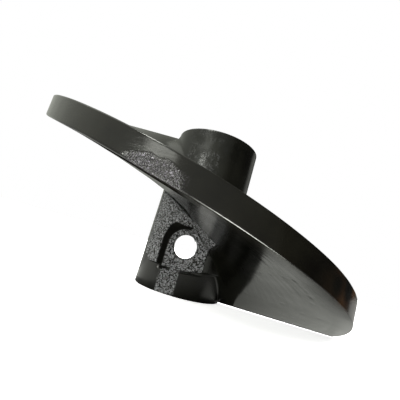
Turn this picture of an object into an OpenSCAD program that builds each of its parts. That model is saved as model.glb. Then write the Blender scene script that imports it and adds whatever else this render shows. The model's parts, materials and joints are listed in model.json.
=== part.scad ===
// Half-turn auger segment: a half-round hub shell that bolts onto a shaft,
// with a left-hand helical flight cast round it. The hub's axis is +Z and the
// origin is on that axis at the hub's lower end. The split plane is y = 0 and
// the bolt points along -Y. Millimetres.

/* [Hub] */
// Outside diameter of the hub
hub_d = 103; // [96:0.5:112]
// Diameter of the shaft that the half shell sits on
shaft_d = 75; // [60:0.5:80]
// Length of the hub along its axis
hub_len = 189; // [180:1:220]
// Bevel round the hub's outer end edges
hub_bevel = 2; // [0.5:0.5:4]

/* [Flight] */
// Diameter swept by the flight
flight_d = 380; // [300:5:420]
// Thickness of the flight, measured along the hub's axis
flight_t = 22; // [14:1:26]
// Width of the outer band of the flight that wears first
rim_w = 18; // [10:1:30]
// Bevel on the band's two outer edges
rim_bevel = 2; // [1:0.5:5]
// Radius of the fillets where the flight meets the hub
root_r = 10; // [6:1:14]

/* [Bolt pocket] */
// Diameter of the bolt's clearance hole
bolt_hole_d = 26; // [22:0.5:27]
// Height of the bolt above the hub's lower end
bolt_z = 53; // [50:1:56]
// Distance from the hub's axis to the flat that the bolt's head sits on
seat_y = 44.75; // [43:0.25:47]
// Radius of the arch round the bolt's head
pocket_r = 21; // [19:0.5:22]
// Height of the pocket's open lower edge
pocket_foot_z = 28; // [24:1:30]
// How far the cast pad stands proud of the hub
pad_t = 2.5; // [1.5:0.5:4]
// Width of the shallow channel below the pocket
channel_w = 20; // [14:1:24]
// Depth of that channel
channel_depth = 2; // [1:0.5:4]

/* [Hidden] */

$fn = 96;
hub_r = hub_d / 2;
shaft_r = shaft_d / 2;
flight_r = flight_d / 2;
pad_r = hub_r + pad_t;
web_r = flight_r - rim_w;

// The flight's upper face starts flush with the hub's top at azimuth -90 and
// its lower face ends flush with the hub's foot at azimuth +90.
start_az = -90;
end_az = 90;
drop_per_deg = (hub_len - flight_t) / (end_az - start_az);
steps = 72;
step_az = (end_az - start_az) / steps;
// Chords of the flight's inner edge stay just outside the hub's cylinder.
root_in_r = hub_r / cos(step_az / 2);
// Least size of a fillet at the end where it runs out.
fillet_min = 0.6;
fillet_points = 6;

// The pad's outline, looking along +Y at x and z: a straight upper edge that
// follows the flight down, a near upright left edge and a rounded left foot.
pad_left_x = -45;
pad_top_z = 112;
pad_slope = 0.64;
pad_foot_z = 35;
pad_foot_r = 6.5;
pad_from_az = -55;
pad_to_az = -2;
pad_edge_steps = 12;
// Upright edges of the channel, which lies left of the bolt's centre line.
channel_right_x = 2.5;
cut = 100;

function top_z(az) = hub_len - drop_per_deg * (az - start_az);
function low_z(az) = top_z(az) - flight_t;
function at(az, rho, z) = [rho * sin(az), -rho * cos(az), z];

// Solid swept by a section whose points are [rho, z] at each azimuth.
module sweep(rings) {
    n = len(rings[0]);
    last = len(rings) - 1;
    points = [for (ring = rings) for (p = ring) p];
    sides = [for (i = [0 : last - 1]) for (k = [0 : n - 1])
        let (a = i * n + k, b = i * n + (k + 1) % n)
        each [[a, b, a + n], [b, b + n, a + n]]];
    start_cap = [[for (k = [n - 1 : -1 : 0]) k]];
    end_cap = [[for (k = [0 : n - 1]) last * n + k]];
    polyhedron(points, concat(sides, start_cap, end_cap), convexity = 8);
}

function azimuths(from, to, count) = [for (i = [0 : count]) from + (to - from) * i / count];

// Concave quarter-round section in the corner at [root_in_r, z], opening up
// (way = 1) or down (way = -1), with its size limited to the room left.
function fillet_ring(az, z, size, way) = concat(
    [at(az, root_in_r, z)],
    [for (k = [0 : fillet_points])
        let (a = 90 * k / fillet_points)
        at(az, root_in_r + size * (1 - cos(90 - a)), z + way * size * (1 - sin(90 - a)))]);

module fillet_outline(az_from, az_to, upper) {
    sweep([for (az = azimuths(az_from, az_to, steps))
        let (room = upper ? hub_len - top_z(az) : low_z(az),
            size = max(fillet_min, min(root_r, room)))
        upper ? fillet_ring(az, top_z(az), size, 1) : fillet_ring(az, low_z(az), size, -1)]);
}

// The flat seat, its arch and the opening to the right of the bolt.
module pocket_cut() {
    translate([0, -seat_y, bolt_z])
        rotate([90, 0, 0])
            cylinder(r = pocket_r, h = cut);
    translate([-pocket_r, -seat_y - cut, pocket_foot_z])
        cube([pocket_r + hub_r, cut, bolt_z - pocket_foot_z]);
}

module channel_cut() {
    difference() {
        translate([channel_right_x - channel_w, -cut, -1])
            cube([channel_w, cut, pocket_foot_z + 2]);
        translate([0, 0, -2])
            cylinder(r = hub_r - channel_depth, h = hub_len);
    }
}

module half_space() {
    translate([-cut * 2, -cut * 4, -cut])
        cube([cut * 4, cut * 4, cut * 5]);
}

module hub_shell() {
    color("#2b2b26")
    difference() {
        intersection() {
            rotate_extrude()
                polygon([
                    [shaft_r, 0],
                    [hub_r - hub_bevel, 0],
                    [hub_r, hub_bevel],
                    [hub_r, hub_len - hub_bevel],
                    [hub_r - hub_bevel, hub_len],
                    [shaft_r, hub_len]]);
            half_space();
        }
        pocket_cut();
        channel_cut();
        translate([0, 0, bolt_z])
            rotate([90, 0, 0])
                cylinder(d = bolt_hole_d, h = cut);
    }
}

// Upper edge of the pad: the straight cast edge, or the lower fillet's foot
// where that comes lower down.
function pad_edge(az) =
    let (x = pad_r * sin(az))
    [x, min(pad_top_z - pad_slope * (x - pad_left_x), low_z(az) - root_r - 0.2)];

// The pad's outline as a flat shape with x across and z up. Its left foot is
// a quarter circle.
module pad_outline() {
    foot_x = pad_left_x + 6;
    polygon(concat(
        [[pad_left_x, pad_top_z - 1]],
        [for (az = azimuths(pad_from_az, pad_to_az, pad_edge_steps)) pad_edge(az)],
        [
            [pad_r * sin(pad_to_az), bolt_z],
            [-pocket_r, bolt_z],
            [-pocket_r, pad_foot_z - pad_foot_r]],
        [for (a = azimuths(270, 180, 8))
            [foot_x + pad_foot_r + pad_foot_r * cos(a), pad_foot_z + pad_foot_r * sin(a)]],
        [[pad_left_x + 1, pad_top_z - 48]]));
}

module bolt_pad() {
    color("#55555a")
    difference() {
        intersection() {
            rotate([90, 0, 0])
                linear_extrude(cut)
                    pad_outline();
            difference() {
                cylinder(r = pad_r, h = hub_len);
                translate([0, 0, -1])
                    cylinder(r = hub_r, h = hub_len + 2);
            }
        }
        pocket_cut();
    }
}

module flight_web() {
    color("#3c3d38")
    sweep([for (az = azimuths(start_az, end_az, steps)) [
        at(az, root_in_r, top_z(az)),
        at(az, web_r, top_z(az)),
        at(az, web_r, low_z(az)),
        at(az, root_in_r, low_z(az))]]);
}

module wear_rim() {
    color("#1e1e1b")
    sweep([for (az = azimuths(start_az, end_az, steps)) [
        at(az, web_r, top_z(az)),
        at(az, flight_r - rim_bevel, top_z(az)),
        at(az, flight_r, top_z(az) - rim_bevel),
        at(az, flight_r, low_z(az) + rim_bevel),
        at(az, flight_r - rim_bevel, low_z(az)),
        at(az, web_r, low_z(az))]]);
}

module upper_root_fillet() {
    color("#33342f")
    fillet_outline(start_az + fillet_min / drop_per_deg, end_az, true);
}

module lower_root_fillet() {
    color("#33342f")
    fillet_outline(start_az, end_az - fillet_min / drop_per_deg, false);
}

hub_shell();
bolt_pad();
flight_web();
wear_rim();
upper_root_fillet();
lower_root_fillet();
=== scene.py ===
import json
import math

import bpy
import numpy as np
from mathutils import Matrix, Vector


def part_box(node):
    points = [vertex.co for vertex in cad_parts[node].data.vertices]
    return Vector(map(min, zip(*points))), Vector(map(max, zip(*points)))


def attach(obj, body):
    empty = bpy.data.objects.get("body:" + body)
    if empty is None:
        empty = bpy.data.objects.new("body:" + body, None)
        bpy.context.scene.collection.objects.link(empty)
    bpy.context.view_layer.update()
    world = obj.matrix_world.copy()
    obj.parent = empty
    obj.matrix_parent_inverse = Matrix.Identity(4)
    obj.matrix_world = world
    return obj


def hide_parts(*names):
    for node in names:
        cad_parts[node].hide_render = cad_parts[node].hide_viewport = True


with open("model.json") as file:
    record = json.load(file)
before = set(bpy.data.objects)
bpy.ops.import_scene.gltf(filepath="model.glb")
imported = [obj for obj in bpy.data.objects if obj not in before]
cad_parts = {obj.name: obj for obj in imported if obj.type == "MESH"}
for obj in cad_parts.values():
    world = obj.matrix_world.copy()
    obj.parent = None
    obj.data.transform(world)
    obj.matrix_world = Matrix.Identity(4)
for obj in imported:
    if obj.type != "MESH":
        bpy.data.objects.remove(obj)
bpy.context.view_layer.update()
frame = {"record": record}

# Lengths in this script are millimetres, apart from the studio's, and MM turns
# them into Blender's metres. Azimuth 0 points along -Y and grows towards +X,
# in radians. "Forward" is a distance from the shaft's axis along -Y.
MM = 0.001


# ---------------------------------------------------------------- frame sizes

def box_mm(node):
    """Lowest and highest corner of a CAD node, in millimetres."""
    low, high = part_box(node)
    return np.array(low) / MM, np.array(high) / MM


def mount(name):
    """The record's mount of that name."""
    return next(m for m in frame["record"]["mounts"] if m["name"] == name)


HUB_R = box_mm("hub_shell")[1][0]
HUB_LEN = box_mm("hub_shell")[1][2]
FLIGHT_R = box_mm("wear_rim")[1][0]
WEB_R = box_mm("flight_web")[1][0]
FLIGHT_T = HUB_LEN - box_mm("lower_root_fillet")[1][2]
SHAFT_R = mount("shaft_seat")["dims"]["r_mm"]
HOLE_R = mount("bolt_hole")["dims"]["r_mm"]
BOLT_Z = mount("bolt_hole")["pos_m"][2] / MM

# The blade runs from azimuth -90 degrees at the top to +90 at the foot, and
# drops by this much for each radian.
HALF_TURN = math.pi / 2
DROP = (HUB_LEN - FLIGHT_T) / math.pi


# -------------------------------------------------------------- number fields

LATTICE_VALUES = 4096
LATTICE_PRIMES = (73856093, 19349663, 83492791)    # spread neighbouring cells over the table
SAND_GRAIN = 3.2           # width of the core's coarse sand
SAND_HEIGHT = 0.8


def ramp(x, low, high):
    """0 below low, 1 above high, and a smooth S between them."""
    t = np.clip((x - low) / (high - low), 0, 1)
    return t * t * (3 - 2 * t)


def soft_min(a, b, k):
    """The lower of a and b, with the crease between them rounded over k."""
    h = np.clip(0.5 + 0.5 * (b - a) / k, 0, 1)
    return b * (1 - h) + a * h - k * h * (1 - h)


def soft_max(a, b, k):
    """The higher of a and b, with the crease between them rounded over k."""
    return -soft_min(-a, -b, k)


def rounding(gap, size):
    """How far a quarter-round edge of that size draws a face in, as a function
    of the gap to the edge."""
    short = np.maximum(0, size - gap)
    return size - np.sqrt(np.maximum(size ** 2 - short ** 2, 0))


def lumps(points, size, seed):
    """Smooth random field in -1..1: seeded values on a lattice of that spacing, blended."""
    table = np.random.default_rng(seed).uniform(-1, 1, LATTICE_VALUES)
    scaled = points / size
    cell = np.floor(scaled).astype(np.int64)
    part = scaled - cell
    part = part * part * (3 - 2 * part)
    total = np.zeros(points.shape[:-1])
    for corner in np.ndindex(2, 2, 2):
        mixed = (cell + np.array(corner)) * np.array(LATTICE_PRIMES)
        key = (mixed[..., 0] ^ mixed[..., 1] ^ mixed[..., 2]) % LATTICE_VALUES
        weight = np.where(np.array(corner) == 1, part, 1 - part).prod(axis=-1)
        total += weight * table[key]
    return total


def waviness(points):
    """Gentle unevenness of a hand-dressed sand casting: 0.16 mm in waves of
    31 mm and 0.08 mm in waves of 11 mm."""
    return 0.16 * lumps(points, size=31, seed=1) + 0.08 * lumps(points, size=11, seed=2)


def sand(points):
    """Height of the grains that the loose core prints: coarse lumps, and finer
    ones of about half their width."""
    coarse = lumps(points, SAND_GRAIN, seed=3)
    fine = lumps(points, SAND_GRAIN * 0.55, seed=4)
    return SAND_HEIGHT * (0.75 * coarse + 0.55 * fine)


# ------------------------------------------------------------------- the core
# A loose core makes the rough pad, pocket and channel. Seen along +Y, with x
# across and z up, its outline has a straight upper edge, a near upright left
# edge with a rounded foot, and a narrow neck down to the hub's end.

HUB_SKIN = 0.25            # room left on the hub for its waviness
SEAT_Y = 44.75             # flat that the bolt's head sits on
ARCH_R = 18.2              # arch of the pocket where it meets the flat
POCKET_FOOT_Z = 27.5
LEAN = (1.8, 0.35)         # run of the pocket's wall per millimetre of height, left and right
LEAN_TURN = (-24, -3)      # x between which the wall steepens
PAD_T = 3.0                # pad's height over the hub
DIAGONAL = (83.2, -0.64)   # pad's straight upper edge: height at x = 0, and slope
DIAGONAL_COS = 0.84        # turns a height under that edge into a distance from it
PAD_LEFT = -44.2           # pad's left edge, down to the height where it starts to lean in
PAD_LEAN_Z = 62
PAD_LEAN = 0.00176         # it leans in by this times the square of the depth
PAD_CORNER = (-32.5, 35.0, 6.8)    # rounded lower left corner: x, z and radius
LOBE_RIGHT = -20           # the pad's part left of the pocket ends at this x
LOBE_FOOT_Z = 28.2
PAD_FOOT_DROP = 1.5        # the rest of the pad reaches this far below the pocket's foot
PAD_FOOT_SLOPE = 0.2       # and rises to the right of the bolt
PAD_RIGHT = (25.5, 0.24)   # right edge at the flat, and how far it runs out per millimetre forward
CHANNEL = (-18.0, 2.6)     # left and right edge of the channel under the pocket
CHANNEL_DEPTH = 1.2
CHANNEL_SLOPE = 0.2        # the channel runs out towards the hub's end
CHANNEL_STEP = 1.8         # its bed is higher along the left edge
FRONT = 1.2                # azimuths within this are cut by the core
LEAST_COS = 0.2            # keeps planes across the front finite at the sides


def pad_depth(x, z):
    """How far a point is inside the pad's outline: the least of its distances
    to the upper edge, the left edge and the foot, and near the lower left
    corner to a circle as well."""
    below_edge = (DIAGONAL[0] + DIAGONAL[1] * x - z) * DIAGONAL_COS
    left_edge = x - PAD_LEFT - PAD_LEAN * np.minimum(z - PAD_LEAN_Z, 0) ** 2
    main_foot = POCKET_FOOT_Z - PAD_FOOT_DROP + PAD_FOOT_SLOPE * np.clip(x, 0, 25)
    foot = z - np.where(x < LOBE_RIGHT, LOBE_FOOT_Z, main_foot)
    depth = np.minimum(np.minimum(below_edge, left_edge), foot)
    corner_x, corner_z, corner_r = PAD_CORNER
    in_corner = (x < corner_x) & (z < corner_z)
    round_foot = corner_r - np.hypot(x - corner_x, z - corner_z)
    return np.where(in_corner, np.minimum(depth, round_foot), depth)


def pad_right(x, forward):
    """Distance to the pad's right edge, which runs out as the pad comes forward."""
    return PAD_RIGHT[0] + PAD_RIGHT[1] * (forward - SEAT_Y) - x


def pocket_distance(x, z, radius):
    """Distance outside the pocket's outline, negative inside. The arch is
    round over the bolt, straight down on the left, and on the right it runs
    off along its 45 degree tangent."""
    up = z - BOLT_Z
    arch = np.hypot(x, up) - radius
    left = -x - radius
    right = (x + up) / math.sqrt(2) - radius
    upper = np.where((x > 0) & (x > up), right, np.where(up > 0, arch, left))
    return np.maximum(upper, POCKET_FOOT_Z - z)


def pocket_lean(x):
    """Sideways run of the pocket's drafted wall for each millimetre of height:
    a gentle slope on the left that steepens towards the right."""
    return LEAN[0] + (LEAN[1] - LEAN[0]) * ramp(x, *LEAN_TURN)


def in_channel(x):
    """Distance inside the channel's nearer edge."""
    return np.minimum(x - CHANNEL[0], CHANNEL[1] - x)


def core_mask(x, z, forward):
    """1 where the core printed its sand on the casting, 0 elsewhere."""
    body = np.minimum(pad_depth(x, z), pad_right(x, np.clip(forward, SEAT_Y, SEAT_Y + 40)))
    body = np.where((x > LOBE_RIGHT - 1) & (z < POCKET_FOOT_Z), -1, body)
    neck = np.minimum(in_channel(x), POCKET_FOOT_Z + 1 - z)
    return ramp(np.maximum(body, neck), -0.5, 0.9)


def channel_bed(x, z, cos, raised):
    """Radius of the channel's bed: a plane across the front that comes forward
    towards the hub's end and is stepped at its left, and at least a shallow
    dip under the surface round it."""
    step = CHANNEL_STEP * ramp(-x, 8, 11) * ramp(z, 12, 24)
    plane = SEAT_Y + CHANNEL_SLOPE * np.clip(POCKET_FOOT_Z + 1 - z, 0, 40) + step
    dip = 0.4 + CHANNEL_DEPTH * ramp(z, 0, 18)
    return np.minimum(plane / np.maximum(cos, LEAST_COS), raised - dip)


def hub_radius(azimuth, z):
    """Outside radius of the hub shell with its pad, channel and pocket, as a
    function of azimuth and height, and how much of each point is the pocket's
    wall. The outlines are drawn over x, which is the radius times the sine of
    the azimuth, so the radius is worked out again four times."""
    plain = HUB_R - HUB_SKIN
    radius = np.full(np.broadcast(azimuth, z).shape, plain)
    sin, cos = np.sin(azimuth), np.cos(azimuth)
    front = np.abs(azimuth) < FRONT
    for _ in range(4):
        x = radius * sin
        raised = plain + PAD_T * ramp(pad_depth(x, z), -0.5, 1.3)
        neck = ramp(in_channel(x), -0.4, 1.4) * ramp(-z, -POCKET_FOOT_Z - 2, -POCKET_FOOT_Z)
        raised = raised + (channel_bed(x, z, cos, raised) - raised) * neck
        outside = pocket_distance(x, z, ARCH_R)
        cut = (SEAT_Y + np.maximum(outside, 0) / pocket_lean(x)) / np.maximum(cos, LEAST_COS)
        radius = soft_min(raised, np.where(front, cut, FLIGHT_R), 1.4)
    wall = ramp(outside, -0.6, 0.8) * ramp(raised - cut, -0.6, 0.6)
    return radius, np.where(front, wall, 0)


# ---------------------------------------------------------------- mesh makers

SHARP_ANGLE = 55           # degrees; an edge that turns further than this looks crisp


def at(azimuth, rho, z):
    """Point at an azimuth, a radius and a height."""
    x = rho * np.sin(azimuth)
    y = -rho * np.cos(azimuth)
    return np.stack(np.broadcast_arrays(x, y, z), axis=-1)


def grid_faces(index, keep=None):
    """Four-sided faces of a grid of vertex numbers, left out where keep is False."""
    corners = [index[:-1, :-1], index[1:, :-1], index[1:, 1:], index[:-1, 1:]]
    quads = np.stack(corners, axis=-1)
    return quads.reshape(-1, 4) if keep is None else quads[keep]


def band_faces(first, second):
    """Faces between two loops or lines of vertex numbers of equal length."""
    return np.stack([first[:-1], second[:-1], second[1:], first[1:]], axis=-1)


def swept_faces(rings, width):
    """Faces of a closed tube made of that many rings of that many points, with
    a flat cap at each end, laid as a strip across the ring."""
    index = np.arange(rings * width).reshape(rings, width)
    closed = np.concatenate([index, index[:, :1]], axis=1)
    half = width // 2
    first_cap = band_faces(index[0, :half], index[0, ::-1][:half])
    last_cap = band_faces(index[-1, :half], index[-1, ::-1][:half])
    return np.concatenate([grid_faces(closed), first_cap[:, ::-1], last_cap])


def make_piece(name, points, faces, material, attributes):
    """Mesh object from points in millimetres, faces that all point outwards, and
    a number or a vector at each point for each attribute."""
    mesh = bpy.data.meshes.new(name)
    mesh.from_pydata((points * MM).tolist(), [], faces.tolist())
    for key, values in attributes.items():
        wide = values.ndim == 2
        layer = mesh.attributes.new(key, "FLOAT_VECTOR" if wide else "FLOAT", "POINT")
        layer.data.foreach_set("vector" if wide else "value", values.astype(np.float32).ravel())
    mesh.shade_smooth()
    mesh.set_sharp_from_angle(angle=math.radians(SHARP_ANGLE))
    mesh.materials.append(material)
    piece = bpy.data.objects.new(name, mesh)
    bpy.context.scene.collection.objects.link(piece)
    return piece


# ------------------------------------------------------------------ materials
# The pieces carry four attributes for their finish. "core" is how much sand the
# core left and how much pale colour lies on it: dust, painted glints on the grains,
# and painted highlights along the pad's crest and on a patch near the hub's top.
# "matt" is how much of the gloss is lost, which paints shade on the pocket's wall
# and a shadow line under the band, "rust" how much bare iron shows, and "sweep"
# the place along and across the dressing marks.

CLOUD_MM = 45              # slow drift of the tone and gloss
CLOUD_RANGE = (0.35, 0.7)  # the noise's usual lowest and highest level
STREAK_MM = 12
STREAK_SHARE = 0.35
TONE_STOPS = (0.5, 0.85)   # noise levels of the dark and the light tone
DUST_AND_GLINT_STEP = 0.17           # noise band over which bare enamel turns to full pale specks, dust and painted glints
DUST_AND_GLINT_HAZE = 0.05           # faint pale haze between the specks
GRAIN_MM = 0.9             # the mould's sand under the paint
GRAIN_HEIGHT = 0.04
GRIT_MM = 1.3              # the core's sand, drawn coarser than it is so that it shows
BRUSH_MM = (1.6, 22)       # dressing marks: width and length
BRUSH_HEIGHT = 0.10
GLOSS = 0.5                # specular level of sound enamel
MATT_ROUGHNESS = 0.6       # what the matt places add to the roughness: painted shade on the pocket's wall, a painted shadow line under the band, and a duller underside
BARE_IRON = "#4c3420"


def linear(hex_colour):
    """Linear RGBA from an sRGB hex colour."""
    values = [int(hex_colour[i:i + 2], 16) / 255 for i in (1, 3, 5)]
    return [v / 12.92 if v <= 0.04045 else ((v + 0.055) / 1.055) ** 2.4 for v in values] + [1.0]


def add(tree, kind, settings=None, links=None):
    """Adds a shader node, sets its properties and inputs, and links its inputs.
    Settings name a property or an input; links name an input and give a socket."""
    node = tree.nodes.new(kind)
    for key, value in (settings or {}).items():
        if isinstance(key, str) and hasattr(node, key):
            setattr(node, key, value)
        else:
            node.inputs[key].default_value = value
    for key, socket in (links or {}).items():
        tree.links.new(socket, node.inputs[key])
    return node


def enamel_colour(tree, place, core, cloud, tones, dust_and_glint_colour, dust_and_glint_mm, bare):
    """Near black that drifts between two tones, pale specks on the core's sand
    that are dust and painted glints on its grains, and a breath of rust. Bare is
    the noise level below which there are no specks."""
    streak = add(tree, "ShaderNodeTexNoise",
                 {"Scale": 1 / (STREAK_MM * MM), "Detail": 4.0, "Roughness": 0.6},
                 {"Vector": place}).outputs["Fac"]
    tone = add(tree, "ShaderNodeMath", {"operation": "MULTIPLY_ADD", 1: STREAK_SHARE},
               {0: streak, 2: cloud}).outputs[0]
    drift = add(tree, "ShaderNodeValToRGB", {}, {"Fac": tone})
    for stop, position, hex_colour in zip(drift.color_ramp.elements, TONE_STOPS, tones):
        stop.position = position
        stop.color = linear(hex_colour)
    # Pale specks on the core's sand: partly dust, partly painted glints that stand in for light catching
    # the grains.
    speck = add(tree, "ShaderNodeTexNoise",
                {"Scale": 1 / (dust_and_glint_mm * MM), "Detail": 2.0, "Roughness": 0.7},
                {"Vector": place}).outputs["Fac"]
    dust_and_highlights = add(tree, "ShaderNodeMapRange",
               {"From Min": bare, "From Max": bare + DUST_AND_GLINT_STEP, "To Min": DUST_AND_GLINT_HAZE, "To Max": 1.0},
               {"Value": speck}).outputs[0]
    dust_and_highlight_share = add(tree, "ShaderNodeMath", {"operation": "MULTIPLY"}, {0: dust_and_highlights, 1: core}).outputs[0]
    colour = add(tree, "ShaderNodeMix", {"data_type": "RGBA", 7: linear(dust_and_glint_colour)},
                 {0: dust_and_highlight_share, 6: drift.outputs["Color"]}).outputs[2]
    rust = add(tree, "ShaderNodeAttribute", {"attribute_name": "rust"}).outputs["Fac"]
    return add(tree, "ShaderNodeMix", {"data_type": "RGBA", 7: linear(BARE_IRON)},
               {0: rust, 6: colour}).outputs[2]


def enamel_relief(tree, place, core, grit_height):
    """Three reliefs on top of each other: long dressing marks under the paint,
    the mould's fine grain all over, and grit where the core printed its sand."""
    sweep = add(tree, "ShaderNodeAttribute", {"attribute_name": "sweep"}).outputs["Vector"]
    across, along = (1 / (size * MM) for size in BRUSH_MM)
    stretched = add(tree, "ShaderNodeMapping", {"Scale": (across, along, along)},
                    {"Vector": sweep}).outputs[0]
    brush = add(tree, "ShaderNodeTexNoise", {"Scale": 1.0, "Detail": 2.0, "Roughness": 0.5},
                {"Vector": stretched}).outputs["Fac"]
    marks = add(tree, "ShaderNodeBump", {"Strength": 0.6, "Distance": BRUSH_HEIGHT * MM},
                {"Height": brush}).outputs[0]
    grain = add(tree, "ShaderNodeTexNoise",
                {"Scale": 1 / (GRAIN_MM * MM), "Detail": 3.0, "Roughness": 0.6},
                {"Vector": place}).outputs["Fac"]
    skin = add(tree, "ShaderNodeBump", {"Strength": 0.5, "Distance": GRAIN_HEIGHT * MM},
               {"Height": grain, "Normal": marks}).outputs[0]
    grit = add(tree, "ShaderNodeTexNoise",
               {"Scale": 1 / (GRIT_MM * MM), "Detail": 2.0, "Roughness": 0.7},
               {"Vector": place}).outputs["Fac"]
    printed = add(tree, "ShaderNodeMath", {"operation": "MULTIPLY"}, {0: grit, 1: core}).outputs[0]
    return add(tree, "ShaderNodeBump", {"Strength": 1.0, "Distance": grit_height * MM},
               {"Height": printed, "Normal": skin}).outputs[0]


def enamel(name, tones, dust_and_glint_colour, dust_and_glint_mm, bare, roughness, spread, grit_height):
    """Black air-drying enamel over sand-cast iron: a glossy skin with the
    casting's grain showing through, gritty where the core was and pale there
    with dust and painted glints and highlights, and with less gloss where the
    matt attribute paints shade on the pocket's wall and a shadow line under the
    band, and dulls the underside."""
    material = bpy.data.materials.new(name)
    material.use_nodes = True
    tree = material.node_tree
    tree.nodes.clear()
    place = add(tree, "ShaderNodeTexCoord").outputs["Object"]
    core = add(tree, "ShaderNodeAttribute", {"attribute_name": "core"}).outputs["Fac"]
    matt = add(tree, "ShaderNodeAttribute", {"attribute_name": "matt"}).outputs["Fac"]
    cloud = add(tree, "ShaderNodeTexNoise",
                {"Scale": 1 / (CLOUD_MM * MM), "Detail": 3.0, "Roughness": 0.55},
                {"Vector": place}).outputs["Fac"]
    colour = enamel_colour(tree, place, core, cloud, tones, dust_and_glint_colour, dust_and_glint_mm, bare)
    normal = enamel_relief(tree, place, core, grit_height)
    sound = add(tree, "ShaderNodeMapRange",
                {"From Min": CLOUD_RANGE[0], "From Max": CLOUD_RANGE[1],
                 "To Min": roughness - spread, "To Max": roughness + spread},
                {"Value": cloud}).outputs[0]
    rough = add(tree, "ShaderNodeMath", {"operation": "MULTIPLY_ADD", 1: MATT_ROUGHNESS},
                {0: matt, 2: sound}).outputs[0]
    gloss = add(tree, "ShaderNodeMath", {"operation": "MULTIPLY_ADD", 1: -GLOSS, 2: GLOSS},
                {0: matt}).outputs[0]
    shader = add(tree, "ShaderNodeBsdfPrincipled", {"Metallic": 0.0, "IOR": 1.5},
                 {"Base Color": colour, "Roughness": rough, "Normal": normal,
                  "Specular IOR Level": gloss})
    add(tree, "ShaderNodeOutputMaterial", {}, {"Surface": shader.outputs[0]})
    return material


# ------------------------------------------------------------------ hub shell

END_EDGE = 1.6             # rounded edges of the hub's two ends
SPLIT_EDGE = 0.8           # and along its split faces
CALM_EDGE = 3              # waviness and sand die out this close to an edge
HUB_MARKS = 0.1            # stretches the dressing marks until they hardly show on the hub
EDGE_STEPS = [0, 0.25, 0.7, 1.3, 2.2, 3.5]     # grid lines close to each end
SQUARE = (18.0, 11.0)      # half sides of the square of grid lines drawn round the bolt
NEAR_BOLT = 0.5            # azimuths within this hold the whole square
HOLE_SLACK = 0.5           # the flat ends this far outside the bolt hole
HOLE_BREAK = ((0.15, 0.12), (0.0, 0.5))    # broken edge of the hole: how far out, how deep
BORE_FLAT_X = 20           # half width of the shaft seat's part behind the pocket
CREST = ((0.2, 1.0), (1.6, 2.8))       # depths inside the pad's outline where its crest comes and goes
CREST_FOOT_Z = 50          # it shows above this height
CREST_GRIT_AND_HIGHLIGHT = 9.0           # extra grit and pale colour on it, a painted highlight line along the crest
DUSTY_HIGHLIGHT_TURN = ((-0.75, -0.45), (0.05, 0.4))    # azimuths where the pale patch near the top comes and goes: partly dust, partly a painted highlight
DUSTY_HIGHLIGHT_Z = ((128, 142), (150, 172))    # heights where it comes and fades
DUSTY_HIGHLIGHT_FADE = 0.6          # share of it that is lost higher up
DUSTY_HIGHLIGHT_LEVEL = 0.12
WALL_SHADE_MATT = 0.85           # the pocket's wall loses its gloss: painted shade that keeps it black
WALL_SAND = 0.5            # and the sand is fainter on it by this share


def hub_columns():
    """Azimuths of the hub's grid: half-millimetre lines over the pocket, finer
    lines over the pad, wide ones elsewhere and close ones at the split edges."""
    lines = int(4 * SQUARE[0]) + 1
    pocket = np.arctan(np.linspace(-SQUARE[0], SQUARE[0], lines) / SEAT_Y)
    left = [[-90, -89.7, -89.2, -88.5], np.arange(-86, -60, 2.5), np.arange(-60, -36, 0.8),
            np.arange(-36, -22.2, 0.6)]
    right = [np.arange(22.5, 36, 0.6), np.arange(38, 87, 2.5), [88.5, 89.2, 89.7, 90]]
    return np.concatenate([np.radians(np.concatenate(left)), pocket, np.radians(np.concatenate(right))])


def hub_rows():
    """Heights of the hub's grid, closest over the pocket and at the two ends."""
    top = [HUB_LEN - h for h in reversed(EDGE_STEPS)]
    return np.concatenate([EDGE_STEPS, np.arange(5, 20, 1.25), np.arange(20, 80, 0.5),
                           np.arange(80, 114, 0.8), np.arange(115, HUB_LEN - 5, 3.5), top])


def round_the_hole(x, up):
    """Draws a square of grid lines round the bolt: its inner square becomes the
    hole's circle, its outer square stays put, and lines between them blend.
    Also says which points lie inside the inner square."""
    outer, inner = SQUARE
    size = np.maximum(np.abs(x), np.abs(up))
    reach = np.hypot(x, up)
    share = np.clip((size - inner) / (outer - inner), 0, 1)
    safe_size, safe_reach = np.maximum(size, 1e-6), np.maximum(reach, 1e-6)
    scale = (1 - share) * (HOLE_R + HOLE_SLACK) / safe_reach + share * outer / safe_size
    moved = size < outer
    return np.where(moved, x * scale, x), np.where(moved, up * scale, up), size < inner - 1e-6


def hub_grid():
    """Azimuth and height of each point of the hub's grid, and whether it falls
    inside the bolt hole."""
    azimuth, z = np.meshgrid(hub_columns(), hub_rows(), indexing="ij")
    x = SEAT_Y * np.tan(np.clip(azimuth, -FRONT, FRONT))
    x, up, hole = round_the_hole(x, z - BOLT_Z)
    near = (np.abs(azimuth) < NEAR_BOLT) & (np.abs(z - BOLT_Z) < SQUARE[0])
    azimuth = np.where(near, np.arctan(x / SEAT_Y), azimuth)
    z = np.where(near, BOLT_Z + up, z)
    return azimuth, z, hole & near


def bore_x(azimuth):
    """x on the shaft seat under an outside azimuth: straight in along Y over
    the pocket, and evenly round to the split edge beyond it."""
    edge = math.atan(BORE_FLAT_X / SEAT_Y)
    share = (np.sin(np.abs(azimuth)) - math.sin(edge)) / (1 - math.sin(edge))
    beyond = BORE_FLAT_X + (SHAFT_R - BORE_FLAT_X) * share
    straight = SEAT_Y * np.tan(np.clip(np.abs(azimuth), 0, edge))
    return np.sign(azimuth) * np.where(np.abs(azimuth) < edge, straight, beyond)


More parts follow.
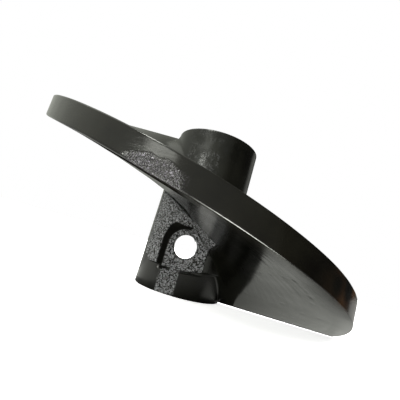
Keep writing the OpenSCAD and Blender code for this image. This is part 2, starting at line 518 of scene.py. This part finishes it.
def hub_dust_and_highlights(azimuth, place, core, wall):
    """How much dust, grit and painted light lies on the hub: on the core's sand,
    most of all along the pad's upper edge, where it paints a highlight line; none
    on the pocket's wall, which keeps it black as painted shade; and a little on a
    pale patch near the top, partly dust and partly a painted highlight."""
    z = place[..., 2]
    depth = pad_depth(place[..., 0], z)
    # Painted highlight: the pad's crest gets extra pale colour, a light line along its edge.
    crest = ramp(depth, *CREST[0]) * (1 - ramp(depth, *CREST[1])) * (z > CREST_FOOT_Z)
    # Pale patch near the top: partly dust, partly a painted highlight.
    dusty_highlight = ramp(azimuth, *DUSTY_HIGHLIGHT_TURN[0]) * (1 - ramp(azimuth, *DUSTY_HIGHLIGHT_TURN[1])) * ramp(z, *DUSTY_HIGHLIGHT_Z[0])
    fading = 1 - DUSTY_HIGHLIGHT_FADE * ramp(z, *DUSTY_HIGHLIGHT_Z[1])
    broken = ramp(lumps(place, size=8, seed=8) + 0.7 * lumps(place, size=2.2, seed=9), -0.5, 0.9)
    # No pale colour on the pocket's wall: painted shade that keeps it black.
    sand_dust_and_highlight = core * (1 - wall) * (1 + CREST_GRIT_AND_HIGHLIGHT * crest)
    return np.maximum(sand_dust_and_highlight, DUSTY_HIGHLIGHT_LEVEL * (dusty_highlight * fading * broken))


def hole_loop(index):
    """Closed loop of vertex numbers round the bolt hole, along the inner square
    of the hub's grid."""
    x0, x1 = np.where(np.isclose(np.abs(SEAT_Y * np.tan(hub_columns())), SQUARE[1]))[0]
    z0, z1 = np.where(np.isclose(np.abs(hub_rows() - BOLT_Z), SQUARE[1]))[0]
    return np.concatenate([index[x0:x1, z0], index[x1, z0:z1], index[x1:x0:-1, z1],
                           index[x0, z1:z0:-1], index[x0:x0 + 1, z0]])


def hole_rings(spokes, loop, start):
    """Points and faces of the bolt hole's broken edge: a ring for each step of
    HOLE_BREAK, joined to the loop round the hole. Also gives the last ring."""
    points, faces = [], []
    count = len(spokes)
    for out, depth in HOLE_BREAK:
        x, up = (spokes * (HOLE_R + out)).T
        points.append(np.column_stack([x, np.full(count, -SEAT_Y + depth), BOLT_Z + up]))
        ring = start + np.append(np.arange(count), 0)
        faces.append(band_faces(ring, loop))
        loop = ring
        start += count
    return points, faces, loop


def make_hub(material):
    """The half shell as two grids over azimuth and height, its outside and its
    shaft seat, joined round their edges and through the bolt hole."""
    azimuth, z, hole = hub_grid()
    radius, wall = hub_radius(azimuth, z)
    place = at(azimuth, radius, z)
    core = core_mask(place[..., 0], z, -place[..., 1])
    dust_and_highlights = hub_dust_and_highlights(azimuth, place, core, wall)
    # Painted shade: the pocket's wall loses its gloss so that it reads black.
    matt = WALL_SHADE_MATT * wall * (pad_depth(place[..., 0], z) > 0)

    end_gap = np.minimum(z, HUB_LEN - z)
    split_gap = (HALF_TURN - np.abs(azimuth)) * HUB_R
    uneven = waviness(place) + core * (1 - WALL_SAND * wall) * sand(place)
    radius = radius - rounding(end_gap, END_EDGE) - rounding(split_gap, SPLIT_EDGE)
    radius = radius + ramp(np.minimum(end_gap, split_gap), 0, CALM_EDGE) * uneven
    outside = at(azimuth, radius, z).reshape(-1, 3)
    seat_x = bore_x(azimuth)
    seat_y = -np.sqrt(np.maximum(SHAFT_R ** 2 - seat_x ** 2, 0))
    inside = np.stack([seat_x, seat_y, z], axis=-1).reshape(-1, 3)

    count = azimuth.size
    index = np.arange(count).reshape(azimuth.shape)
    keep = ~(hole[:-1, :-1] | hole[1:, :-1] | hole[1:, 1:] | hole[:-1, 1:])
    border = np.concatenate([index[:, 0], index[-1, 1:], index[-2::-1, -1], index[0, -2::-1]])
    loop = hole_loop(index)
    spokes = outside[loop[:-1]][:, [0, 2]] - np.array([0, BOLT_Z])
    spokes /= np.linalg.norm(spokes, axis=1)[:, None]
    rings, ring_faces, last_ring = hole_rings(spokes, loop, 2 * count)
    hole_x, hole_up = (spokes * HOLE_R).T
    hole_y = -np.sqrt(SHAFT_R ** 2 - hole_x ** 2)
    inside[loop[:-1]] = np.column_stack([hole_x, hole_y, BOLT_Z + hole_up])

    points = np.concatenate([outside, inside] + rings)
    faces = np.concatenate([grid_faces(index, keep), grid_faces(index + count, keep)[:, ::-1],
                            band_faces(border, border + count)] + ring_faces
                           + [band_faces(loop + count, last_ring)])
    used = np.zeros(len(points), bool)
    used[faces] = True
    renumbered = np.cumsum(used) - 1
    bare = np.zeros(len(points) - count)
    attributes = {"core": np.concatenate([dust_and_highlights.ravel(), bare])[used],
                  "matt": np.concatenate([matt.ravel(), bare])[used],
                  "sweep": HUB_MARKS * MM * points[used]}
    return make_piece("hub_shell_casting", points[used], renumbered[faces], material, attributes)


# ---------------------------------------------------------------------- blade

SKIN = 0.35                # room left on the blade for the casting's waviness
ROOT_IN_R = 41.0           # the blade's root ends inside the shell's wall
FILLET_SINK = 0.3          # fillets start this far under the hub's surface
UPPER_FILLET = 18.0        # fillet between the blade's upper face and the hub
LOWER_FILLET = 9.0
LIP_T = 2.4                # pad's height over the blade's lower face
PRINTED = (0.0, math.radians(5))   # the core touches the blade from these azimuths on
END_ROUNDS = (2.6, 1.2)    # rounded edges of the blade's two ends, the upper one first
END_FAN = math.radians(5)  # the rings at each end turn into the sweep over this angle
CALM_END = 14              # the ends stay true this far from the split plane
CALM_RIM = 6               # and the web's edge this far from the band
DENT_TURN = 11             # radius that the dents' sweep is measured at, which draws them long
LEAST_WEB = 2              # the web is never thinner than this
PRINT_LIMITS = (40, 40)    # the core's print needs more forward than the first and less x than the second
POCKET_LIMITS = (27, SEAT_Y - 3, 75)   # greatest x of the pocket's cut, and the forward that it spans
MARKS_RADIUS = 130         # radius that the dressing marks' sweep is measured at


def blade_rings(turns):
    """Azimuth of each ring of the blade as a function of radius: at both ends
    the rings lie in planes beside the split plane, and between them they fan
    out at the given turns from the top end, in degrees. Also gives how far
    the rounded edges draw each ring in."""
    steps = np.array([0, 0.05, 0.15, 0.33, 0.54, 0.77, 1])
    shares = np.array([0.3, 0.65])
    turns = np.radians(turns)

    def lead(rho, size):
        ends = np.arcsin(size * steps[:, None] / rho)
        blend = (1 - shares[:, None]) * ends[-1] + shares[:, None] * END_FAN
        return np.concatenate([ends, blend])

    def angles(rho):
        middle = np.repeat(turns[:, None], rho.size, axis=1)
        tail = math.pi - lead(rho, END_ROUNDS[1])[::-1]
        return np.concatenate([lead(rho, END_ROUNDS[0]), middle, tail]) - HALF_TURN

    inset = 1 - np.sqrt(1 - (1 - steps) ** 2)
    between = np.zeros(len(shares) * 2 + len(turns))
    insets = np.concatenate([END_ROUNDS[0] * inset, between, END_ROUNDS[1] * inset[::-1]])
    return angles, insets[:, None]


def face_top(azimuth, inset):
    """Height of the blade's upper face, which falls evenly along the helix."""
    return HUB_LEN - SKIN - DROP * (azimuth + HALF_TURN) - inset


def face_low(azimuth, inset):
    """Height of the blade's lower face."""
    return HUB_LEN - FLIGHT_T + SKIN - DROP * (azimuth + HALF_TURN) + inset


def root_rise(rho, size):
    """Height of a quarter-round root fillet of that size above the blade's face."""
    run = np.clip((rho - HUB_R + FILLET_SINK) / np.maximum(size, 0.01), 0, 1)
    return size * (1 - np.sqrt(1 - (1 - run) ** 2))


def web_radii():
    """Radii of the web's grid: even steps round the quarter circle of the upper
    fillet, then fine ones, and wide ones out to the band."""
    turn = np.linspace(0, math.pi / 2, 26)
    fillet = HUB_R - FILLET_SINK + UPPER_FILLET * (1 - np.cos(turn))
    return np.concatenate([[ROOT_IN_R, 47, 50.6], fillet, np.arange(HUB_R + UPPER_FILLET + 0.5, 92, 0.8),
                           np.arange(92, WEB_R - 1, 1.6), [WEB_R]])


def web_upper(azimuth, rho, inset, calm):
    """Height of the web's upper face: the helix and its root fillet, which is no
    larger than the room below the hub's top end."""
    size = np.minimum(UPPER_FILLET, DROP * (azimuth + HALF_TURN) + 0.01)
    upper = face_top(azimuth, inset) + root_rise(rho, size)
    upper += waviness(at(azimuth, rho, upper)) * calm
    return np.minimum(upper, HUB_LEN - SKIN - inset)


def web_lower(azimuth, rho, inset, calm):
    """Height of the web's lower face, and the core's print on it: the helix less
    its root fillet and the core's raised lip, with hammered dents along the
    sweep, and above the pocket's wall where the pocket cuts into it."""
    x, forward = rho * np.sin(azimuth), rho * np.cos(azimuth)
    size = np.minimum(LOWER_FILLET, DROP * (HALF_TURN - azimuth) + 0.01)
    lower = face_low(azimuth, inset) - root_rise(rho, size)
    printed = ramp(azimuth, *PRINTED) * (forward > PRINT_LIMITS[0]) * (x < PRINT_LIMITS[1])
    lower -= LIP_T * ramp(np.minimum(pad_depth(x, lower), pad_right(x, forward)), -0.3, 1.3) * printed
    core = core_mask(x, lower, forward) * printed
    place = at(azimuth, rho, lower)
    arcs = np.stack([rho, azimuth * DENT_TURN, 0 * rho], axis=-1)
    dents = 0.10 * lumps(arcs, size=2.8, seed=6) + 0.25 * ramp(lumps(place, size=7, seed=6), 0.6, 0.9)
    lower += (waviness(place) + dents + core * sand(place)) * calm
    reach = ARCH_R + pocket_lean(x) * np.clip(forward - SEAT_Y, 0, 20)
    arch = np.sqrt(np.maximum(reach ** 2 - x ** 2, 0))
    over = BOLT_Z + np.where(x > reach / math.sqrt(2), math.sqrt(2) * reach - x, arch)
    far_x, near_y, far_y = POCKET_LIMITS
    in_pocket = (x > -reach) & (x < far_x) & (forward > near_y) & (forward < far_y)
    return np.where(in_pocket, soft_max(lower, over, 1.0), lower), core


def make_web(material):
    """The blade between hub and band: an upper and a lower face over the same
    radii and azimuths, kept apart and inside the hub's length."""
    turns = np.concatenate([np.arange(5, 75, 1.0), np.arange(75, 130, 0.5), np.arange(130, 175.5, 1.0)])
    angles, inset = blade_rings(turns)
    azimuth = angles(web_radii())
    rho = np.broadcast_to(web_radii(), azimuth.shape)
    calm = ramp(WEB_R - rho, 0, CALM_RIM) * ramp(rho * np.cos(azimuth), END_ROUNDS[0], CALM_END)
    upper = web_upper(azimuth, rho, inset, calm)
    lower, core = web_lower(azimuth, rho, inset, calm)
    lower = np.minimum(lower, upper - LEAST_WEB)
    lower = np.maximum(lower, SKIN + inset)

    points = np.concatenate([at(azimuth, rho, lower), at(azimuth, rho, upper)[:, ::-1]], axis=1)
    faces = swept_faces(*points.shape[:2])
    sweep = MM * np.stack([rho, azimuth * MARKS_RADIUS, 0 * rho], axis=-1)
    attributes = {"core": np.concatenate([core, np.zeros_like(core)], axis=1).ravel(),
                  "sweep": np.concatenate([sweep, sweep[:, ::-1]], axis=1).reshape(-1, 3)}
    return make_piece("flight_web_casting", points.reshape(-1, 3), faces, material, attributes)


# ------------------------------------------------------------------ wear band

RIM_ROWS = 26              # rows over the band's height, an even number
RIM_TOP_ROUND = 1.6        # crisp upper edge of the band
RIM_LOW_ROUND = 2.2        # rounder lower edge
TOP_POINTS = 9             # points round the upper edge
LOW_POINTS = 13
RIM_INNER = (0, 4, 9)      # points on the faces, this far outside the web
TOP_WEAR = (0.6, 0.3, 0.8)     # the upper edge loses this share of its round between two azimuths
LOW_WEAR = (0.75, 0.05, 0.5)   # and the lower edge this share
MIDDLE = len(RIM_INNER) + TOP_POINTS   # a point of the section that lies on the outside
PATCH = (-0.22, 0.06)      # azimuths that the band's rough patch spans
PATCH_FADES = (0.06, 0.1)  # it comes and goes over these
PATCH_CLIMB = (0.22, 0.14) # it starts lower by this share of the height, and climbs over this azimuth
PATCH_DOWN = (0.42, 0.6)   # its upper edge fades in between these shares of the height, from the top
PATCH_RELIEF = 0.5         # its sand stands half as high as the core's
PATCH_SINK = 0.3           # and lies this share of a grain's height under the band's face
SHADOW_LINE_TURN = ((-0.55, -0.4), (0.0, 0.14))   # azimuths where the underside loses and regains its gloss: a painted shadow line under the band's lower edge
UNDERSIDE_MATT = 0.15      # loss of gloss on the rest of the underside
RUST = (0.86, 0.12)        # azimuth where bare iron shows, and half the width of the place


def rim_section(azimuth, inset):
    """Radius and height round the band's section: out from the web along the
    upper face, round the upper edge, down the outside in even steps, round the
    lower edge, and back along the lower face."""
    turn = azimuth[:, MIDDLE:MIDDLE + 1]
    ones = np.ones_like(turn)
    outer = FLIGHT_R - SKIN
    inner = ones * (WEB_R + np.array(RIM_INNER))
    top_corner = np.radians(np.linspace(90, 0, TOP_POINTS))
    low_corner = np.radians(np.linspace(0, -90, LOW_POINTS))
    top_round = RIM_TOP_ROUND * (1 - TOP_WEAR[0] * ramp(turn, *TOP_WEAR[1:]))
    low_round = RIM_LOW_ROUND * (1 - LOW_WEAR[0] * ramp(turn, *LOW_WEAR[1:]))
    rho = np.concatenate([inner, outer + top_round * (np.cos(top_corner) - 1),
                          ones * np.full(RIM_ROWS, outer),
                          outer + low_round * (np.cos(low_corner) - 1), inner[:, ::-1]], axis=1)
    sag_top = np.concatenate([0 * inner, top_round * (1 - np.sin(top_corner))], axis=1)
    sag_low = np.concatenate([low_round * (1 + np.sin(low_corner)), 0 * inner], axis=1)
    tops, lows = sag_top.shape[1], sag_low.shape[1]
    high = face_top(azimuth, inset)[:, :tops] - sag_top
    low = face_low(azimuth, inset)[:, -lows:] + sag_low
    share = np.linspace(0, 1, RIM_ROWS + 2)[1:-1]
    side = high[:, -1:] + (low[:, :1] - high[:, -1:]) * share
    return rho, np.concatenate([high, side, low], axis=1)


def rough_patch(azimuth, place, down):
    """How much of the core's sand was left on the band: a patch with ragged
    edges on its lower part, as a function of azimuth and of how far down it is."""
    start, end = PATCH
    come, go = PATCH_FADES
    along = ramp(azimuth, start, start + come) * (1 - ramp(azimuth, end - go, end))
    ragged = 0.12 * lumps(place, size=7, seed=5)
    climb = PATCH_CLIMB[0] * (1 - ramp(azimuth, start, start + PATCH_CLIMB[1]))
    return along * ramp(down + ragged - climb, *PATCH_DOWN)


def make_rim(material):
    """The wear band: a rounded section carried along the helix from the web's
    outer radius to the blade's edge."""
    outer = FLIGHT_R - SKIN
    inner = WEB_R + np.array(RIM_INNER)
    turns = np.concatenate([np.arange(5, 68, 1.0), np.arange(68, 104, 0.25), np.arange(104, 175.5, 1.0)])
    angles, inset = blade_rings(turns)
    around = np.full(TOP_POINTS + RIM_ROWS + LOW_POINTS, outer)
    azimuth = angles(np.concatenate([inner, around, inner[::-1]]))
    rho, z = rim_section(azimuth, inset)
    pull = ramp(rho, inner[-1], outer)
    rho = rho - inset * pull

    place = at(azimuth, rho, z)
    down = np.clip((face_top(azimuth, inset) - z) / FLIGHT_T, 0, 1)
    core = rough_patch(azimuth, place, down) * pull
    wave = waviness(place) * ramp(-place[..., 1], END_ROUNDS[0], CALM_END)
    rho = rho + wave * pull + core * PATCH_RELIEF * (sand(place) - SAND_HEIGHT * PATCH_SINK)
    z = z + wave * ramp(rho, WEB_R, WEB_R + CALM_RIM) * (1 - pull)

    bare = np.exp(-((azimuth - RUST[0]) / RUST[1]) ** 2)
    rust = bare * ramp(lumps(place, size=14, seed=7), -0.5, 0.6) * pull
    turn = azimuth[:, MIDDLE:MIDDLE + 1]
    # Painted shadow: just inside the lower edge the underside loses its gloss and reads as a black line.
    shadow_line = ramp(turn, *SHADOW_LINE_TURN[0]) * (1 - ramp(turn, *SHADOW_LINE_TURN[1]))
    matt = np.zeros_like(rho)
    matt[:, -len(inner) - 2:] = np.maximum(shadow_line, UNDERSIDE_MATT)
    sweep = MM * np.stack([rho + z, azimuth * FLIGHT_R, 0 * rho], axis=-1)
    attributes = {"core": core[:, ::-1].ravel(), "rust": rust[:, ::-1].ravel(),
                  "matt": matt[:, ::-1].ravel(), "sweep": sweep[:, ::-1].reshape(-1, 3)}
    points = at(azimuth, rho, z)[:, ::-1].reshape(-1, 3)
    return make_piece("wear_rim_casting", points, swept_faces(*azimuth.shape), material, attributes)


# --------------------------------------------------------------------- studio
# Places and sizes in the studio are metres, apart from the camera's, and powers
# are watts.

CAMERA_PLACE = (38.1, -356.4, 49.3)
CAMERA_TARGET = (12.4, 0.0, 109.2)
CAMERA_LEAN = 16.1         # degrees
CAMERA_LENS = 25.7
CAMERA_SHIFT = (-0.0276, 0.0196)
FLOOR_HALF = 20.0
PAPER_GLOW = 0.75          # paper lit from below, as on a light table
CLOTH_ENDS = ((0.26, -0.30), (0.69, 0.27))
CLOTH_HEIGHT = 0.5
BRIGHT_SIDE = (-0.94, -0.34, 0.0)      # way to the bright wall
WALL_LEVELS = (0.02, 0.7)  # dark wall and bright wall
SKY_POWER = 8.0
SKY_ANGLE = 120            # degrees
LAMP_TINT = (0.98, 1.0, 0.92)

# Name, place, point aimed at, size, power and spread in degrees. The last three
# lie on the floor and draw the lit edges in the gloss of the blade's underside.
LAMPS = (
    ("top_softbox", (-0.5, -0.3, 1.3), (0, 0, 0.1), (1.6, 1.2), 5, 180),
    ("key_lamp", (-0.45, -0.75, 1.2), (0, 0, 0.1), (0.25, 0.25), 7, 180),
    ("low_lamp", (-0.5, -0.9, 0.15), (0, 0, 0.08), (0.25, 0.25), 7, 180),
    ("window", (-0.60, -1.40, 0.55), (0, -0.19, 0.1), (0.45, 0.16), 1.2, 180),
    ("rear_softbox", (0.75, 0.85, 0.35), (0.15, 0, 0.08), (0.5, 0.6), 0.3, 180),
    ("panel_left_of_hub", (-0.29, -0.03, 0.002), (-0.29, -0.03, 1), (0.44, 0.24), 0.2, 180),
    ("panel_under_blade", (0.135, -0.03, 0.002), (0.135, -0.03, 1), (0.13, 0.056), 0.0147, 180),
    ("strip_under_band", (0.06, -0.19, 0.002), (0.06, -0.19, 1), (0.2, 0.05), 0.08, 50),
)


def make_camera():
    """Close view from a little right of the bolt and level with it, leaning
    clockwise so that the hub stands tipped to the right."""
    data = bpy.data.cameras.new("camera")
    data.sensor_width = 36
    data.lens = CAMERA_LENS
    data.shift_x, data.shift_y = CAMERA_SHIFT
    data.clip_start, data.clip_end = 0.01, 20
    camera = bpy.data.objects.new("camera", data)
    forward = (Vector(CAMERA_TARGET) - Vector(CAMERA_PLACE)).normalized()
    look = forward.to_track_quat("-Z", "Y").to_matrix()
    lean = Matrix.Rotation(math.radians(CAMERA_LEAN), 3, "Z")
    camera.matrix_world = Matrix.Translation(Vector(CAMERA_PLACE) * MM) @ (look @ lean).to_4x4()
    bpy.context.scene.collection.objects.link(camera)
    bpy.context.scene.camera = camera


def make_sheet(name, corners, material):
    """Flat four-cornered piece of the studio."""
    mesh = bpy.data.meshes.new(name)
    mesh.from_pydata(corners, [], [(0, 1, 2, 3)])
    mesh.materials.append(material)
    sheet = bpy.data.objects.new(name, mesh)
    bpy.context.scene.collection.objects.link(sheet)
    return sheet


def make_floor():
    """Pale matt paper that the hub's end stands on. The eye sees it as white
    paper, and the object's gloss sees it as grey."""
    material = bpy.data.materials.new("pale_matt_paper")
    material.use_nodes = True
    tree = material.node_tree
    tree.nodes.clear()
    seen = add(tree, "ShaderNodeLightPath").outputs["Is Camera Ray"]
    shade = add(tree, "ShaderNodeMix",
                {"data_type": "RGBA", 6: linear("#6a6a68"), 7: linear("#f8f8f8")},
                {0: seen}).outputs[2]
    glow = add(tree, "ShaderNodeMath", {"operation": "MULTIPLY", 1: PAPER_GLOW}, {0: seen}).outputs[0]
    paper = add(tree, "ShaderNodeBsdfPrincipled",
                {"Roughness": 1.0, "Specular IOR Level": 0.0, "Emission Color": (1, 1, 1, 1)},
                {"Base Color": shade, "Emission Strength": glow})
    add(tree, "ShaderNodeOutputMaterial", {}, {"Surface": paper.outputs[0]})
    half = FLOOR_HALF
    make_sheet("floor", [(-half, -half, 0), (half, -half, 0), (half, half, 0), (-half, half, 0)], material)


def make_black_cloth():
    """Black felt that hangs beside the object on its right, where only the
    gloss sees it."""
    material = bpy.data.materials.new("black_felt")
    material.use_nodes = True
    shader = material.node_tree.nodes["Principled BSDF"]
    shader.inputs["Base Color"].default_value = linear("#141414")
    shader.inputs["Roughness"].default_value = 1.0
    near, far = CLOTH_ENDS
    low, high = 0.01, CLOTH_HEIGHT
    cloth = make_sheet("black_cloth", [(*near, low), (*far, low), (*far, high), (*near, high)], material)
    cloth.visible_camera = False
    cloth.visible_shadow = False
    cloth.visible_diffuse = False


def make_lamp(name, place, target, size, power, spread):
    """Soft rectangular studio lamp aimed at a point."""
    data = bpy.data.lights.new(name, "AREA")
    data.shape = "RECTANGLE"
    data.size, data.size_y = size
    data.energy = power
    data.color = LAMP_TINT
    data.spread = math.radians(spread)
    lamp = bpy.data.objects.new(name, data)
    lamp.location = place
    lamp.rotation_mode = "QUATERNION"
    lamp.rotation_quaternion = (Vector(target) - Vector(place)).to_track_quat("-Z", "Y")
    lamp.visible_camera = False
    bpy.context.scene.collection.objects.link(lamp)


def make_sky_light():
    """Even light from above, soft as an overcast sky, that whitens the floor.
    The gloss doesn't see it."""
    data = bpy.data.lights.new("overcast", "SUN")
    data.energy = SKY_POWER
    data.angle = math.radians(SKY_ANGLE)
    sky = bpy.data.objects.new("overcast", data)
    sky.visible_glossy = False
    bpy.context.scene.collection.objects.link(sky)


def make_world():
    """White studio: the eye sees an even white, while the object's gloss sees
    a bright wall to its left and darkness to its right, which draws black
    enamel in black with lit edges."""
    world = bpy.data.worlds.new("studio_bright_on_the_left")
    world.use_nodes = True
    tree = world.node_tree
    tree.nodes.clear()
    way = add(tree, "ShaderNodeTexCoord").outputs["Generated"]
    side = add(tree, "ShaderNodeVectorMath", {"operation": "DOT_PRODUCT", 1: BRIGHT_SIDE},
               {0: way}).outputs["Value"]
    wall = add(tree, "ShaderNodeMapRange",
               {"interpolation_type": "SMOOTHSTEP", "From Min": -1.0, "From Max": 1.0,
                "To Min": WALL_LEVELS[0], "To Max": WALL_LEVELS[1]},
               {"Value": side}).outputs[0]
    seen = add(tree, "ShaderNodeLightPath").outputs["Is Camera Ray"]
    level = add(tree, "ShaderNodeMath", {"operation": "MAXIMUM"}, {0: wall, 1: seen}).outputs[0]
    tint = add(tree, "ShaderNodeMix",
               {"data_type": "RGBA", 6: linear("#fbfff2"), 7: (1, 1, 1, 1)},
               {0: seen}).outputs[2]
    shade = add(tree, "ShaderNodeBackground", {}, {"Color": tint, "Strength": level})
    add(tree, "ShaderNodeOutputWorld", {}, {"Surface": shade.outputs[0]})
    bpy.context.scene.world = world


bpy.context.scene.view_settings.view_transform = "Standard"
make_camera()
make_floor()
make_black_cloth()
make_world()
make_sky_light()
for lamp in LAMPS:
    make_lamp(*lamp)

# Enamel sprayed over the dressed casting gives the eye a deep, wet black with
# soft-edged reflections, and dull grey specks on the core's sand that are dust
# and painted glints on its grains.
casting_skin = enamel("gloss_black_enamel_on_smooth_casting", tones=("#060605", "#12120e"),
                      dust_and_glint_colour="#a2a2a6", dust_and_glint_mm=1.7, bare=0.445,
                      roughness=0.22, spread=0.05, grit_height=3.2)

# The band's outside was dressed true before it was sprayed, so its enamel lies
# flatter and mirrors more sharply, with finer and sparser pale specks in the rough
# patch, dust and painted glints.
band_skin = enamel("gloss_black_enamel_on_wear_band", tones=("#060504", "#100f0b"),
                   dust_and_glint_colour="#8c8692", dust_and_glint_mm=1.1, bare=0.57,
                   roughness=0.14, spread=0.02, grit_height=1.2)

hub = make_hub(casting_skin)
web = make_web(casting_skin)
rim = make_rim(band_skin)
for piece, slot, nodes in ((hub, "rough_cast_enamel", ("hub_shell", "bolt_pad")),
                           (web, "smooth_enamel", ("flight_web", "upper_root_fillet", "lower_root_fillet")),
                           (rim, "rim_enamel", ("wear_rim",))):
    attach(piece, "root")
    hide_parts(*nodes)
